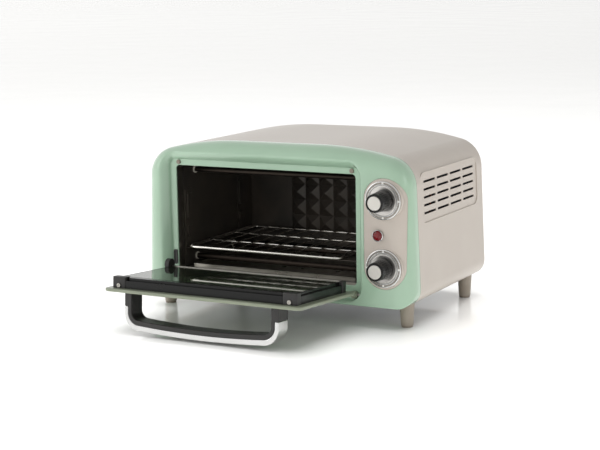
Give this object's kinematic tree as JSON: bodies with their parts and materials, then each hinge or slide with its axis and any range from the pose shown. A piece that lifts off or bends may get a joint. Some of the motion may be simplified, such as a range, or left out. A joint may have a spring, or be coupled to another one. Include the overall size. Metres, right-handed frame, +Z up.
{
  "type": "toaster oven",
  "caption": "Countertop toaster oven with a rounded enamelled fascia, drop-down glass door, D handle, wire rack, rear crumb tray and dials beside the opening.",
  "frame": {"origin": "centre of the footprint's bounding box at the underside of the feet, with the door open", "axes": "+Z up, +Y from the door to the back, +X to the right as seen from the front, on the side of the controls"},
  "size_m": [0.382, 0.4065, 0.221],
  "materials": {
    "mint_enamel": "glossy enamel",
    "greige_enamel": "satin enamel",
    "door_enamel": "satin enamel",
    "black_plastic": "fine matt",
    "black_gloss": "gloss",
    "foot_plastic": "satin",
    "chrome": "polished",
    "dial_silver": "spun",
    "tick_white": "printed",
    "cap_silver": "painted",
    "lamp_red": "translucent",
    "tempered_glass": "clear",
    "bright_steel": "brushed",
    "dark_steel": "dark cavity coating",
    "plated_wire": "plated",
    "heater_sheath": "heat-darkened",
    "ceramic": "unglazed",
    "galvanised": "zinc",
    "pad_silicone": "matt silicone",
    "beige_phenolic": "moulded",
    "lead_insulation": "silicone"
  },
  "bodies": {
    "oven": {"base_pan": "galvanised", "cavity_back": "dark_steel", "cavity_floor": "dark_steel", "cavity_wrap": "dark_steel", "control_bracket": "galvanised", "control_panel": "greige_enamel", "cord_gland": "black_plastic", "dial_bezel_thermostat": "chrome", "dial_bezel_timer": "chrome", "dial_dish_thermostat": "dial_silver", "dial_dish_timer": "dial_silver", "dial_ticks_thermostat": "tick_white", "dial_ticks_timer": "tick_white", "door_buffers": "pad_silicone", "foot_front_left": "foot_plastic", "foot_front_right": "foot_plastic", "foot_pads": "pad_silicone", "foot_rear_left": "foot_plastic", "foot_rear_right": "foot_plastic", "front_fascia": "mint_enamel", "heat_shield": "galvanised", "heater_insulators": "ceramic", "heaters_lower": "heater_sheath", "heaters_upper": "heater_sheath", "hinge_pins": "bright_steel", "jamb_plate": "black_plastic", "lamp_bezel": "chrome", "lamp_body": "black_plastic", "lamp_lens": "lamp_red", "opening_flange": "bright_steel", "outer_shell": "greige_enamel", "rack_runner_left": "dark_steel", "rack_runner_right": "dark_steel", "rear_panel": "galvanised", "rear_screws": "galvanised", "rear_spacers": "black_plastic", "terminal_block": "beige_phenolic", "thermostat_body": "beige_phenolic", "timer_bell": "bright_steel", "timer_body": "beige_phenolic", "wiring": "lead_insulation"},
    "door": {"door_plate": "door_enamel", "door_inner_frame": "black_gloss", "door_glass": "tempered_glass", "corner_caps_free": "black_plastic", "corner_caps_hinge": "black_plastic", "glass_strip": "bright_steel", "frame_screws": "bright_steel", "door_handle": "black_plastic", "handle_trim": "chrome"},
    "rack": {"wire_rack": "plated_wire"},
    "tray": {"crumb_tray": "bright_steel"},
    "thermostat_knob": {"knob_thermostat": "black_gloss", "knob_cap_thermostat": "cap_silver", "knob_shaft_thermostat": "bright_steel"},
    "timer_knob": {"knob_timer": "black_gloss", "knob_cap_timer": "cap_silver", "knob_shaft_timer": "bright_steel"}
  },
  "joints": [
    {"name": "door_hinge", "type": "hinge", "parent": "oven", "child": "door", "pos_m": [0, -0.04969, 0.0405], "axis": [1, 0, 0], "range_deg": [-86, 0]},
    {"name": "rack_slide", "type": "slide", "parent": "oven", "child": "rack", "axis": [0, -1, 0], "range_m": [0, 0.14]},
    {"name": "tray_slide", "type": "slide", "parent": "oven", "child": "tray", "axis": [0, 1, 0], "range_m": [0, 0.17]},
    {"name": "thermostat_turn", "type": "hinge", "parent": "oven", "child": "thermostat_knob", "pos_m": [0.1563, -0.05469, 0.1603], "axis": [0, 1, 0], "range_deg": [0, 270]},
    {"name": "timer_turn", "type": "hinge", "parent": "oven", "child": "timer_knob", "pos_m": [0.1563, -0.05469, 0.0775], "axis": [0, 1, 0], "range_deg": [0, 300]}
  ]
}
